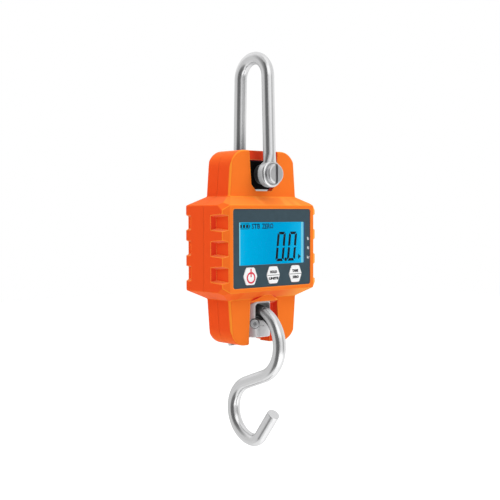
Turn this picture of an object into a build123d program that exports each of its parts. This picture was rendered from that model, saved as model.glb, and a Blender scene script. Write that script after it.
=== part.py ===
from build123d import *
from math import acos, atan2, cos, degrees, radians, sin, sqrt, tan
import os

# A small hanging scale for loads: an orange two-part case around a load cell,
# a long steel shackle above it and a steel S-hook below it.
#
# Row frame: the origin is where a lifting hook bears inside the shackle's bow,
# +Z is up along the load line, +Y runs from the display to the battery door and
# +X runs across the display.  Every piece is drawn in the case's own frame, whose
# origin is on the load line at the middle of the case's height, and is moved
# down the load line when it is written.  All sizes are in millimetres.

# ---- Driving dimensions: shackle and its bolt ----
shackle_rod = 8.3            # diameter of the bent bar
shackle_reach = 73.0         # inside of the bow to the bolt's axis
bow_radius = 13.4            # centre line of the bow
eye_offset = 15.1            # load line to the middle of each eye
eye_diameter = 17.4
eye_thickness = 6.6
eye_round = 1.6              # rounding of the eyes' rims
eye_root = 13.0              # the bar starts to flatten this far above the bolt's axis
bolt_below_top = 15.5        # bolt's axis below the top of the case
bolt_diameter = 8.0
bolt_head_diameter = 13.2
bolt_head_height = 3.5
bolt_slot_width = 2.2
bolt_slot_depth = 1.6
bolt_end = 1.0               # thread that stands out of the nut
nut_across_flats = 13.0
nut_height = 4.6
eye_play = 0.15              # radial play of the bolt in the eyes
running_play = 0.06          # radial play of the bolt in the lug
side_play = 0.2              # sideways play of the lug between its spacers
spacer_diameter = 13.0
eye_root_width = 10.0        # width of the bar where it leaves the eye
eye_root_height = 7.2        # height of that place above the bolt's axis
eye_root_step = 0.15         # flats of the bar below the eye's faces there
head_round = 1.5             # rounded rim of the bolt's head

# ---- Driving dimensions: load cell and lugs ----
lug_thickness = 13.2         # along the bolt
lug_width = 21.2
lug_top = 9.0                # lug above the bolt's axis
lug_bottom = 9.8             # lug below the bolt's axis
lug_chamfer = 3.4
cell_width = 36.0
cell_thickness = 13.6
cell_top = 28.2              # above the middle of the case, behind the display
cell_to_slot = 10.2          # bottom of the cell above the ceiling of the lower slot
cell_neck_width = 20.0
cell_neck_play = 0.5         # neck of the cell to the case
gauge_bore = 9.0             # the two holes that leave the thin beams
gauge_bore_pitch = 10.0
cell_slot = 1.6
cell_slot_height = 13.0      # slots above and below the middle
cell_web = 8.0               # metal left at the closed end of each slot
yoke_width = 18.0            # the lower lug is a round-cornered square bar
yoke_corner = 6.0
yoke_flange_width = 32.0
yoke_flange_height = 6.6
yoke_to_end = 4.2            # bottom of the yoke above the bottom of the case
yoke_floor = 7.6             # metal below the hook's window
window_width = 13.0
window_to_slot = 1.4         # top of the window below the ceiling of the slot
cap_screw = 4.0              # thread of the lug screws
cap_screw_head = 7.0
cap_screw_head_height = 4.0
cap_screw_spread = 7.6       # upper pair, from the load line
flange_screw_spread = 12.0   # lower pair, from the load line
saddle_screw = 3.0
saddle_screw_head = 5.5
saddle_screw_head_height = 3.0
saddle_washer = 6.4
saddle_washer_thickness = 0.5
saddle_screw_angle = 42.0    # from straight ahead
saddle_screw_bite = 4.8      # reach of the screws into the yoke and saddle
saddle_flat = 0.3            # washers' seats to the yoke's flat sides
saddle_rise = 0.35           # lower edge of the screws above the window's floor
gauge_size = 5.0             # foil gauges over the thin beams
gauge_rise = 7.5             # their middles above and below the cell's middle
gauge_wire = 0.9
foil_thickness = 0.15
block_chamfer = 0.5          # broken edges of the metal blocks
yoke_round = 0.8

# ---- Driving dimensions: S-hook ----
hook_rod = 8.5
hook_above_floor = 9.9       # top of the upper loop's centre line above the window's floor
hook_loop = 22.5             # centre line radius of the upper loop
hook_loop_shift = -1.5       # the upper loop's centre, from the load line
hook_tail_angle = -9.0       # where the upper loop ends behind the yoke
hook_drop = 88.3             # top to bottom of the centre line
hook_bend = 19.6             # centre line radius of the lower loop
hook_bend_shift = 2.2        # the lower loop's centre, from the load line
hook_heel = 10.0             # tighter bend below the tip
hook_tip_angle = 53.0        # slope of the straight tip
hook_tip_length = 21.0
hook_tip_round = 0.5
saddle_gap = 0.3             # between the hook and its saddle

# ---- Driving dimensions: case ----
case_width = 83.4
case_front = 18.3            # load line to the display's rim
case_rear = 23.5             # load line to the back
block_height = 55.4
facet_side = 2.7             # corner facets of the block: their reach along the sides
facet_front = 4.6            # and along the front and the back
corner_drop = 3.2            # the front corners are cut off this far down their edges
corner_run = 4.0             # and this far along the shoulders
neck_root_width = 60.8
neck_top_width = 56.0
neck_front = 9.3
neck_rear = 14.5
neck_facet = 1.6
neck_root = 33.5             # where the shoulders meet the necks
case_height = 127.4
neck_corner = 12.5           # rounding of the necks' outer corners
edge_round = 1.2
wall = 2.2
parting = 2.6                # the shells meet this far behind the load line
parting_gap = 0.2
rib_pitch = 16.55
rib_depth = 3.8              # depth of the corner notches
rib_front_run = 13.7         # reach of the front corners' notches along the side
rib_rear_run = 7.8           # reach of the rear corners' notches
rib_notch = 9.2              # height of a notch at its inner end
rib_flare = 4.6              # how far its walls lean apart towards the corner, in degrees
rib_draft = 16.7             # slope of its walls, in degrees
notch_depth = 26.5           # bottom of the upper notch below the top of the case
notch_floor_width = 13.8
notch_knee = 4.3
notch_low_width = 22.0
notch_top_width = 25.4
notch_back = 6.9             # load line to the floor of the upper notch
bridge = 6.0                 # wall left above the lug
slot_depth = 28.5            # ceiling of the lower slot above the bottom of the case
slot_ceiling_width = 16.0
slot_knee = 3.8
slot_low_width = 24.6
slot_mouth_width = 27.6
slot_step = 4.6              # load line to the cheeks that stand beside the lower lug
mouth_dip = 0.3              # the ceiling of the slot's front mouth falls this far under the visor
mouth_drop = 2.6             # and this far to the cheeks
brow_reach = 3.6             # visor over the slot: its bulge at the middle
brow_height = 4.2
brow_flat = 5.0              # width of its top, which falls away to both sides
lug_clearance = 0.4          # case to lugs

# ---- Driving dimensions: display and buttons ----
panel_margin = 7.25          # side of the case to the panel
panel_height = 50.6
panel_thickness = 0.5
panel_corner = 1.6
panel_depth = 0.4            # panel below the rim
panel_fit = 0.1
face_wall = 2.0              # wall behind the panel
glass_margin = 6.1           # side of the panel to its clear window
glass_height = 27.5
glass_middle = 3.05          # above the middle of the case
lens_lap = 0.55              # lens behind the panel all round
lens_thickness = 1.0
lcd_thickness = 2.0
stack_gap = 0.1
button_pitch = 20.2
button_shift = 0.2
button_middle = 17.8         # below the middle of the case
button_width = 11.7
button_height = 11.1
button_flat = 7.1            # width of a button's top and bottom edges
button_round = 1.3
button_stand = 0.35          # proud of the panel
button_play = 0.2
flange_width = 13.8
flange_height = 12.2
flange_thickness = 0.8
switch_size = 6.0
switch_height = 2.0
switch_plunger = 3.4
plunger_height = 0.4
switch_gap = 0.45            # cap's stem to the switch's plunger, just over the cap's travel

# ---- Driving dimensions: circuit board ----
board_thickness = 1.6
board_front = 11.3           # load line to the board's display side
board_margin = 1.15          # board beyond the clear window
board_top = 18.0
board_bottom = 23.6
board_ear_gap = 0.8          # ears to the case's walls
board_ear_height = 26.0
board_screw_inset = 2.8      # screws to the ends of the ears
board_screw_z = 9.6
board_post = 5.2
small_screw = 2.2
small_screw_head = 4.2
small_screw_head_height = 1.5
chip_height = 1.2
chips = [                    # x, z, width and height of each
    (0, -3, 8, 8),
    (0, 8, 6, 4.5),
    (-22, -6, 5, 4),
    (22, 5, 4, 7),
]
buzzer_diameter = 9.0
buzzer_height = 2.0
buzzer_to_screw = 8.1
buzzer_z = 6.0
lcd_connector_height = 2.0   # soft contact strips above and below the backlight

# ---- Driving dimensions: battery compartment and door ----
battery_diameter = 10.5
battery_length = 44.5
battery_count = 3
battery_pitch = 11.2
battery_nub = 0.9            # raised pole at one end
battery_nub_diameter = 3.8
battery_round = 0.5
battery_play = 0.35
contact_thickness = 0.5
spring_length = 4.0
spring_wire = 0.7
spring_diameter = 6.0
tray_wall = 1.2
door_lap = 1.6               # door beyond the sides of the tray
door_top = 18.4              # above the middle of the case
door_bottom = 18.6           # below the middle
door_thickness = 1.8
door_seat = 1.5              # wall behind the door
door_fit = 0.15
door_tongue = 1.2            # reach of the tongues under the shell
door_tongue_thickness = 0.8
door_tongue_length = 7.0
door_tongue_spread = 20.0
door_travel = 6.0
door_grip_ribs = 4
door_grip_pitch = 2.4
door_grip_width = 18.0
door_grip_depth = 0.5
door_grip_margin = 3.0       # lowest groove above the door's lower edge
door_round = 0.4
contact_size = 8.4

# ---- Driving dimensions: case screws, seal and wires ----
case_screw_inset = 8.1       # side of the case to the screws
case_screw_z = 21.6
case_screw = 3.0
case_screw_head = 5.6
case_screw_head_height = 2.2
case_screw_length = 30.0
case_screw_depth = 0.4        # heads below the back
boss_diameter = 7.0
screw_play = 0.2
boss_root = 0.4              # posts and bosses start this deep in the case's walls
seal_width = 0.9
seal_inset = 0.7
seal_thickness = 1.2
cell_post_x = 13.0
cell_post_z = 22.6
cell_post = 6.4
cell_screw = 3.0
cell_screw_head = 5.5
cell_screw_head_height = 1.6
lead_diameter = 1.2
lead_offset = 21.0           # battery leads, from the load line
cross_length = 0.6           # a screw's cross slot, as a share of its head
cross_width = 0.13
socket_share = 0.75          # hexagon socket, as a share of its thread
thread_bite = 2.0            # engaged thread, in diameters
head_play = 0.2              # heads below their seats' rims
thread_end = 0.6             # a screw's tip to the bottom of its hole

# ---- Places that several pieces share ----
half_height = case_height / 2
bolt_z = half_height - bolt_below_top
notch_floor = half_height - notch_depth
slot_top = half_height - slot_depth
yoke_bottom = half_height - yoke_to_end
row_origin_z = bolt_z + shackle_reach
panel_front = case_front - panel_depth
panel_back = panel_front - panel_thickness
face_back = panel_back - face_wall
lens_back = panel_back - lens_thickness
lcd_front = lens_back - stack_gap
lcd_back = lcd_front - lcd_thickness
board_back = board_front - board_thickness
inner_half = case_width / 2 - rib_depth - wall
panel_width = case_width - 2 * panel_margin
glass_width = panel_width - 2 * glass_margin
lens_width = glass_width + 2 * lens_lap
lens_height = glass_height + 2 * lens_lap
lug_face = lug_thickness / 2
cell_face = cell_thickness / 2
eye_inner = eye_offset - eye_thickness / 2
eye_outer = eye_offset + eye_thickness / 2
cell_bottom = slot_top - cell_to_slot
saddle_floor = yoke_bottom - yoke_floor
window_top = slot_top + window_to_slot
hook_top = saddle_floor - hook_above_floor
board_width = glass_width + 2 * board_margin
ear_half = inner_half - board_ear_gap
board_screw_x = ear_half - board_screw_inset
case_screw_x = case_width / 2 - case_screw_inset
door_back = case_rear - door_thickness
seat_back = door_back - door_fit - door_seat
tray_back = seat_back
battery_y = tray_back - battery_play - battery_diameter / 2
tray_floor = battery_y - battery_diameter / 2 - battery_play
tray_inner_width = battery_length + battery_nub + spring_length + 2 * contact_thickness
tray_inner_height = (battery_count - 1) * battery_pitch + battery_diameter + 2 * battery_play
door_width = tray_inner_width + 2 * (tray_wall + door_lap)
button_places = {
    "power": button_shift - button_pitch,
    "hold": button_shift,
    "tare": button_shift + button_pitch,
}


# ---- Small helpers ----
def box(x0, x1, y0, y1, z0, z1):
    """A block between two corners."""
    return Pos((x0 + x1) / 2, (y0 + y1) / 2, (z0 + z1) / 2) * Box(x1 - x0, y1 - y0, z1 - z0)


def rod_y(diameter, y0, y1, x=0.0, z=0.0):
    """A round bar along Y."""
    return Pos(x, (y0 + y1) / 2, z) * Rot(90, 0, 0) * Cylinder(diameter / 2, y1 - y0)


def rod_x(diameter, x0, x1, y=0.0, z=0.0):
    """A round bar along X."""
    return Pos((x0 + x1) / 2, y, z) * Rot(0, 90, 0) * Cylinder(diameter / 2, x1 - x0)


def rod_z(diameter, z0, z1, x=0.0, y=0.0):
    """A round bar along Z."""
    return Pos(x, y, (z0 + z1) / 2) * Cylinder(diameter / 2, z1 - z0)


def outline(points, round_radius=0.0, rounded=None):
    """A flat shape through (x, z) points; the listed corners are rounded."""
    shape = Sketch() + make_face(Polyline(*points, close=True))
    if round_radius:
        corners = [v for v in shape.vertices() if rounded is None or rounded(v)]
        shape = fillet(corners, round_radius)
    return shape


def plate_y(shape, y0, y1):
    """A flat shape, drawn in x and z, made solid from y0 to y1."""
    return extrude(Pos(0, y0, 0) * (Plane.XZ * shape), amount=y1 - y0, dir=(0, 1, 0))


def rounded_plate(width, height, radius, y0, y1, x=0.0, z=0.0):
    """A plate with round corners that faces along Y."""
    return plate_y(Pos(x, z) * RectangleRounded(width, height, radius), y0, y1)


def both_sides(solid):
    """A solid and its mirror image across the load line."""
    return solid + mirror(solid, Plane.YZ)


# ---- Case: the outer form, also used one wall smaller for its inside ----
def plan(half_width, front, rear, facet, height):
    """Section of the case at one height, its corners cut by facet = (along side, along front)."""
    side, face = facet
    corners = [
        (half_width, -front + side), (half_width, rear - side),
        (half_width - face, rear), (-half_width + face, rear),
        (-half_width, rear - side), (-half_width, -front + side),
        (-half_width + face, -front), (half_width - face, -front),
    ]
    return Pos(0, 0, height) * make_face(Polyline(*corners, close=True))


def inner_facet(side, face, inset):
    """The same corner facet on a section that is brought in by inset."""
    share = 1 + inset * (sqrt(side ** 2 + face ** 2) - side - face) / (side * face)
    return (side * max(share, 0.25), face * max(share, 0.25))


def outer_form(inset=0.0):
    """Block, sloping shoulders and two necks, all brought in by inset."""
    block_z = block_height / 2 - inset / 2
    root_z = neck_root - inset / 2
    end_z = half_height - inset
    root_half = neck_root_width / 2 - inset
    top_half = neck_top_width / 2 - inset
    block_plan = (case_width / 2 - inset, case_front - inset, case_rear - inset,
                  inner_facet(facet_side, facet_front, inset))
    neck_plan = (neck_front - inset, neck_rear - inset, inner_facet(neck_facet, neck_facet, inset))
    block = extrude(plan(*block_plan, -block_z), amount=2 * block_z, dir=(0, 0, 1))
    shoulder = loft([plan(*block_plan, block_z), plan(root_half, *neck_plan, root_z)])
    neck = loft([plan(root_half, *neck_plan, root_z), plan(top_half, *neck_plan, end_z)])
    face = outline([(-root_half, root_z), (root_half, root_z), (top_half, end_z), (-top_half, end_z)],
                   neck_corner - inset / 2, lambda v: v.Y > root_z + 1)
    upper = shoulder + (neck & plate_y(face, -2 * case_front, 2 * case_rear))
    return block + upper + mirror(upper, Plane.XY)


def front_corners():
    """What is cut off the block's four front corners, where the facets meet the shoulders."""
    corner = Vector(case_width / 2, -case_front + facet_side, block_height / 2)
    root = Vector(neck_root_width / 2, -neck_front + neck_facet, neck_root)
    below = corner - Vector(0, 0, corner_drop)
    along = corner + (root - corner).normalized() * corner_run
    ahead = Vector(case_width / 2 - facet_front, -case_front, block_height / 2)
    outward = (along - below).cross(ahead - below)
    reach = 2 * corner_run
    near = box(corner.X - reach, corner.X + reach, corner.Y - reach, corner.Y + reach,
               corner.Z - reach, corner.Z + reach)
    cut = split(near, bisect_by=Plane(origin=below, z_dir=outward if outward.X > 0 else -outward))
    cut = both_sides(cut)
    return cut + mirror(cut, Plane.XY)


def corner_notch(run):
    """One notch at a front corner, at the middle height: a tapered cut, wider at the corner."""
    clear = facet_side
    grow = clear * tan(radians(rib_draft))
    inner_end = -case_front + run + grow
    outer_end = -case_front - clear
    inner_half_height = rib_notch / 2 + grow
    outer_half_height = inner_half_height + (inner_end - outer_end) * tan(radians(rib_flare))
    shape = outline([(inner_end, inner_half_height), (outer_end, outer_half_height),
                     (outer_end, -outer_half_height), (inner_end, -inner_half_height)])
    place = Plane(origin=(case_width / 2 + clear, 0, 0), x_dir=(0, 1, 0), z_dir=(1, 0, 0))
    return extrude(place * shape, amount=-(clear + rib_depth), taper=rib_draft)


def corner_notches():
    """Three notches cut into each corner of the block, between four ribs."""
    middle = parting * 2
    rear = Pos(0, middle, 0) * mirror(corner_notch(rib_rear_run), Plane.XZ)
    corner_set = corner_notch(rib_front_run) + rear
    column = Part()
    for step in (-1, 0, 1):
        column += Pos(0, 0, step * rib_pitch) * corner_set
    return both_sides(column)


def notch_shape():
    """Front view of the upper notch, open at the top of the case."""
    beyond = half_height + wall
    rise = (beyond - notch_floor - notch_knee) / (half_height - notch_floor - notch_knee)
    mouth = notch_low_width / 2 + rise * (notch_top_width - notch_low_width) / 2
    right = [(notch_floor_width / 2, notch_floor), (notch_low_width / 2, notch_floor + notch_knee),
             (mouth, beyond)]
    return outline(right + [(-x, z) for x, z in reversed(right)])


def slot_shape():
    """Front view of the lower slot, open at the bottom of the case."""
    beyond = half_height + wall
    right = [(slot_ceiling_width / 2, -slot_top), (slot_low_width / 2, -slot_top - slot_knee),
             (slot_mouth_width / 2, -beyond)]
    return outline(right + [(-x, z) for x, z in reversed(right)])


def case_view():
    """Front view of the case where the two shells meet."""
    top = [(neck_top_width / 2, half_height), (neck_root_width / 2, neck_root),
           (case_width / 2, block_height / 2)]
    right = top + [(x, -z) for x, z in reversed(top)]
    points = right + [(-x, z) for x, z in reversed(right)]
    view = outline(points, neck_corner, lambda v: abs(v.Y) > half_height - 1)
    return view - slot_shape()


def mouth_shape():
    """Front view of the lower slot's front mouth, which has square upper corners."""
    beyond = half_height + wall
    right = [(slot_low_width / 2, -slot_top + wall), (slot_low_width / 2, -slot_top - slot_knee),
             (slot_mouth_width / 2, -beyond)]
    return outline(right + [(-x, z) for x, z in reversed(right)])


def lug_notches():
    """The recesses in both faces of the upper neck, open below the bridge to show the lug."""
    shape = notch_shape()
    recess = plate_y(shape, -2 * case_front, -notch_back)
    recess += plate_y(shape, notch_back, 2 * case_rear)
    window = plate_y(shape, -2 * notch_back, 2 * notch_back)
    return recess + window - box(-case_width, case_width, -notch_back, notch_back,
                                 half_height - bridge, case_height)


def inside():
    """The hollow of the case, with the walls of the notches and the slot left in."""
    hollow = outer_form(wall)
    hollow &= box(-inner_half, inner_half, -face_back, case_rear, -half_height, half_height)
    walled_notch = offset(notch_shape(), amount=wall, kind=Kind.INTERSECTION)
    hollow -= plate_y(walled_notch, -2 * case_front, -notch_back + wall)
    hollow -= plate_y(walled_notch, notch_back - wall, 2 * case_rear)
    walled_slot = offset(slot_shape(), amount=wall, kind=Kind.INTERSECTION)
    hollow -= plate_y(walled_slot, -2 * case_front, 2 * case_rear)
    walled_mouth = offset(mouth_shape(), amount=wall, kind=Kind.INTERSECTION)
    walled_mouth -= Pos(0, -slot_top + case_height / 2 + wall) * Rectangle(case_width, case_height)
    hollow -= plate_y(walled_mouth, -2 * case_front, -slot_step + wall)
    return hollow


def yoke_column(grow, z0, z1):
    """The round-cornered square bar of the lower lug."""
    side = yoke_width + 2 * grow
    return extrude(Pos(0, 0, z0) * RectangleRounded(side, side, yoke_corner + grow), amount=z1 - z0)


def visor():
    """The bulge over the front of the lower slot: an arc in plan that falls away to both sides."""
    end = slot_low_width / 2
    back = -neck_front + wall / 2
    arc = ThreePointArc((-end, -neck_front), (0, -neck_front - brow_reach), (end, -neck_front))
    rest = Polyline((end, -neck_front), (end, back), (-end, back), (-end, -neck_front))
    low = -slot_top - mouth_drop
    top = -slot_top + brow_height
    bulge = extrude(Pos(0, 0, low) * make_face(arc + rest), amount=top - low, dir=(0, 0, 1))
    view = outline([(-end, low), (end, low), (end, -slot_top), (brow_flat / 2, top),
                    (-brow_flat / 2, top), (-end, -slot_top)])
    return bulge & plate_y(view, -2 * case_front, back)


def lower_opening():
    """The slot in front of and behind the lower lug, and the lug's own way between its cheeks."""
    ahead = -2 * case_front
    side_view = [(ahead, -case_height), (-slot_step, -case_height), (-slot_step, -slot_top - mouth_drop),
                 (-neck_front, -slot_top - mouth_dip), (-neck_front - brow_reach, -slot_top),
                 (ahead, -slot_top)]
    below = extrude(Plane.YZ * make_face(Polyline(*side_view, close=True)), amount=case_width, both=True)
    opening = plate_y(mouth_shape(), ahead, -slot_step) & below
    opening += plate_y(slot_shape(), slot_step, 2 * case_rear)
    return opening + yoke_column(lug_clearance, -case_height, -slot_top + 2 * wall)


def case_blank():
    """The closed case: outer form with its edges rounded, notched, hollowed and opened."""
    form = outer_form() - front_corners()
    blank = fillet(form.edges(), edge_round) - corner_notches()
    blank += visor()
    blank -= inside()
    blank -= lower_opening()
    blank -= lug_notches()
    return blank


def seal_ring(side_gap=0.0):
    """The seal, open where the lower lug passes, or its groove when a gap is given."""
    view = case_view()
    ring = offset(view, amount=-seal_inset + side_gap)
    ring -= offset(view, amount=-seal_inset - seal_width - side_gap)
    depth = seal_thickness / 2 + side_gap
    seal = plate_y(ring, parting - depth, parting + depth)
    end = yoke_width / 2 + lug_clearance + wall - side_gap
    return seal - box(-end, end, -case_front, case_rear, -slot_top - wall, -slot_top + 2 * wall)


def button_shape(grow=0.0):
    """A button seen from the front: a hexagon with points left and right."""
    flat = button_flat / 2
    high = button_height / 2
    shape = outline([(flat, high), (button_width / 2, 0), (flat, -high),
                     (-flat, -high), (-button_width / 2, 0), (-flat, high)], button_round)
    return offset(shape, amount=grow) if grow else shape


def at_corners(solid, x, z):
    """Four copies of a solid, at plus and minus x and z."""
    return [Pos(i * x, 0, k * z) * solid for i in (-1, 1) for k in (-1, 1)]


def front_shell(blank):
    """The half of the case that carries the display."""
    shell = blank & box(-case_width, case_width, -2 * case_front, parting - parting_gap / 2,
                        -case_height, case_height)
    shell -= rounded_plate(panel_width + 2 * panel_fit, panel_height + 2 * panel_fit,
                           panel_corner + panel_fit, -2 * case_front, -panel_back)
    shell -= rounded_plate(lens_width + 2 * panel_fit, lens_height + 2 * panel_fit, lens_lap,
                           -panel_back, -face_back, 0, glass_middle)
    for place in button_places.values():
        opening = plate_y(button_shape(button_play), -panel_back, -face_back)
        shell -= Pos(place, 0, -button_middle) * opening
    post = rod_y(board_post, -face_back - boss_root, -board_front)
    hole = rod_y(small_screw + screw_play, -face_back, 0)
    shell += at_corners(post, board_screw_x, board_screw_z)
    shell -= at_corners(hole, board_screw_x, board_screw_z)
    posts = both_sides(rod_y(cell_post, -face_back - boss_root, -cell_face, cell_post_x, cell_post_z))
    holes = both_sides(rod_y(cell_screw + screw_play, -face_back, 0, cell_post_x, cell_post_z))
    shell += posts - holes
    boss = rod_y(boss_diameter, -face_back - boss_root, parting - parting_gap / 2)
    hole = rod_y(case_screw + screw_play, -face_back, parting)
    shell += at_corners(boss, case_screw_x, case_screw_z)
    shell -= at_corners(hole, case_screw_x, case_screw_z)
    return shell - seal_ring(stack_gap / 2)


def door_track():
    """What the battery door needs cut out of the back: its recess, grooves and exits."""
    half = door_width / 2 + door_fit
    floor = door_back - door_fit
    low = -door_bottom - door_travel - door_fit
    track = box(-half, half, floor, 2 * case_rear, low, door_top + door_fit)
    reach = door_tongue + door_fit
    groove_back = door_back + door_tongue_thickness + door_fit
    length = door_tongue_length / 2 + door_fit
    for middle in (-door_tongue_spread / 2, door_tongue_spread / 2):
        track += box(-half - reach, half + reach, floor, groove_back,
                     middle - length - door_travel, middle + length)
        track += box(-half - reach, half + reach, floor, 2 * case_rear,
                     middle - length - door_travel, middle + length - door_travel)
    return track


def rear_shell(blank):
    """The half of the case that holds the batteries."""
    shell = blank & box(-case_width, case_width, parting + parting_gap / 2, 2 * case_rear,
                        -case_height, case_height)
    seat_half = door_width / 2 + door_tongue + 2 * wall
    shell += box(-seat_half, seat_half, seat_back, case_rear - wall / 2,
                 -door_bottom - door_travel - wall, door_top + wall)
    shell -= door_track()
    shell -= box(-tray_inner_width / 2, tray_inner_width / 2, parting, 2 * case_rear,
                 -tray_inner_height / 2, tray_inner_height / 2)
    head_floor = case_rear - case_screw_depth - case_screw_head_height
    boss = rod_y(boss_diameter, parting + parting_gap / 2, case_rear - wall + boss_root)
    hole = rod_y(case_screw + screw_play, parting, case_rear)
    seat = rod_y(case_screw_head + 2 * screw_play, head_floor, 2 * case_rear)
    shell += at_corners(boss, case_screw_x, case_screw_z)
    shell -= at_corners(hole, case_screw_x, case_screw_z)
    shell -= at_corners(seat, case_screw_x, case_screw_z)
    return shell - seal_ring(stack_gap / 2)


# ---- Shackle, bolt, nut and spacers ----
def leg_tangent():
    """Where the straight leg meets the bow, in (y, z)."""
    bow_z = bolt_z + shackle_reach + shackle_rod / 2 - bow_radius
    drop = bolt_z - bow_z
    to_eye = atan2(drop, eye_offset)
    turn = to_eye + acos(bow_radius / sqrt(drop ** 2 + eye_offset ** 2))
    return bow_z, bow_radius * cos(turn), bow_z + bow_radius * sin(turn), degrees(turn)


def shackle():
    """A bar bent into a long bow, its ends flattened into bored eyes."""
    bow_z, touch_y, touch_z, touch_angle = leg_tangent()
    share = eye_root / (touch_z - bolt_z)
    start_y = eye_offset + (touch_y - eye_offset) * share
    start_z = bolt_z + eye_root
    leg = Line((start_y, start_z), (touch_y, touch_z))
    bow = CenterArc((0, bow_z), bow_radius, touch_angle, 180 - 2 * touch_angle)
    path = Plane.YZ.location * Wire([leg, bow, Line((-touch_y, touch_z), (-start_y, start_z))])
    bar = sweep(Plane(origin=path @ 0, z_dir=path % 0) * Circle(shackle_rod / 2), path=path)
    for side in (-1, 1):
        eye = rod_y(eye_diameter, side * eye_offset - eye_thickness / 2,
                    side * eye_offset + eye_thickness / 2, 0, bolt_z)
        eye = fillet(eye.edges().filter_by(GeomType.CIRCLE), eye_round)
        lean = Plane(origin=(0, side * start_y, start_z), x_dir=(1, 0, 0),
                     z_dir=(0, side * (touch_y - eye_offset), touch_z - bolt_z))
        flat = Plane(origin=(0, side * eye_offset, bolt_z + eye_root_height))
        oval = flat * Ellipse(eye_root_width / 2, eye_thickness / 2 - eye_root_step)
        bar += eye
        bar += extrude(oval, amount=eye_root_height / 2, dir=(0, 0, -1))
        bar += loft([oval, lean * Circle(shackle_rod / 2)])
    return bar - rod_y(bolt_diameter + 2 * eye_play, -2 * eye_outer, 2 * eye_outer, 0, bolt_z)


def shackle_bolt():
    """A bolt with a domed, slotted head in front of the front eye."""
    head = rod_y(bolt_head_diameter, -eye_outer - bolt_head_height, -eye_outer, 0, bolt_z)
    rim = head.edges().filter_by(GeomType.CIRCLE).sort_by(Axis.Y)[0]
    head = fillet(rim, head_round)
    front = eye_outer + bolt_head_height
    head -= box(-bolt_slot_width / 2, bolt_slot_width / 2, -front, -front + bolt_slot_depth,
                bolt_z - bolt_head_diameter, bolt_z + bolt_head_diameter)
    end = eye_outer + nut_height + bolt_end
    shank = rod_y(bolt_diameter, -eye_outer, end, 0, bolt_z)
    shank = chamfer(shank.edges().filter_by(GeomType.CIRCLE).sort_by(Axis.Y)[-1], bolt_end / 2)
    return head + shank


def shackle_nut():
    """The hexagon nut behind the rear eye."""
    hexagon = RegularPolygon(nut_across_flats / 2, 6, major_radius=False)
    nut = plate_y(Pos(0, bolt_z) * hexagon, eye_outer, eye_outer + nut_height)
    nut &= nut_bevel()
    return nut - rod_y(bolt_diameter + screw_play / 2, 0, 2 * eye_outer, 0, bolt_z)


def nut_bevel():
    """The turned bevel on the nut's outer face."""
    corner = nut_across_flats / sqrt(3)
    blank = rod_y(2 * corner, eye_outer, eye_outer + nut_height, 0, bolt_z)
    return chamfer(blank.edges().filter_by(GeomType.CIRCLE).sort_by(Axis.Y)[-1], nut_height / 4)


def lug_spacers():
    """Two plain rings on the bolt that keep the lug in the middle of the shackle."""
    rings = []
    for side in (-1, 1):
        near = side * (lug_face + side_play)
        far = side * eye_inner
        ring = rod_y(spacer_diameter, min(near, far), max(near, far), 0, bolt_z)
        rings.append(ring - rod_y(bolt_diameter + screw_play, -2 * eye_outer, 2 * eye_outer, 0, bolt_z))
    return rings


# ---- Screws ----
def screw(thread, length, head, head_height, socket=0.0):
    """A screw that points down, the underside of its head at z = 0."""
    body = Pos(0, 0, head_height / 2) * Cylinder(head / 2, head_height)
    body = chamfer(body.edges().filter_by(GeomType.CIRCLE).sort_by(Axis.Z)[-1], head_height / 8)
    if socket:
        hexagon = RegularPolygon(socket / 2, 6, major_radius=False)
        body -= Pos(0, 0, head_height / 2) * extrude(hexagon, head_height)
    else:
        for turn in (0, 90):
            slot = Box(head * cross_length, head * cross_width, head_height)
            body -= Rot(0, 0, turn) * Pos(0, 0, head_height) * slot
    return body + Pos(0, 0, -length / 2) * Cylinder(thread / 2, length)


# ---- Load cell and lugs ----
def lug_screw_holes(diameter, z0, z1):
    """Holes for the two screws that hold the upper lug."""
    return [rod_z(diameter, z0, z1, x) for x in (-cap_screw_spread, cap_screw_spread)]


def upper_lug():
    """The black block on the bolt, screwed down on the neck of the load cell."""
    half = lug_width / 2
    top = bolt_z + lug_top
    bottom = bolt_z - lug_bottom
    shape = outline([(-half, top), (half, top), (half, bottom + lug_chamfer), (half - lug_chamfer, bottom),
                     (-half + lug_chamfer, bottom), (-half, bottom + lug_chamfer)])
    lug = plate_y(shape, -lug_face, lug_face)
    lug = chamfer(lug.faces().filter_by(Axis.Y).edges(), block_chamfer)
    lug -= rod_y(bolt_diameter + 2 * running_play, -2 * lug_face, 2 * lug_face, 0, bolt_z)
    lug -= lug_screw_holes(cap_screw + screw_play, bottom, top)
    lug -= lug_screw_holes(cap_screw_head + screw_play, top - cap_screw_head_height, top)
    return lug


def lug_screws():
    """Two socket screws down through the upper lug."""
    seat = bolt_z + lug_top - cap_screw_head_height
    length = seat - (bolt_z - lug_bottom) + thread_bite * cap_screw
    one = screw(cap_screw, length, cap_screw_head, cap_screw_head_height - head_play,
                cap_screw * socket_share)
    return [Pos(x, 0, seat) * one for x in (-cap_screw_spread, cap_screw_spread)]


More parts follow.
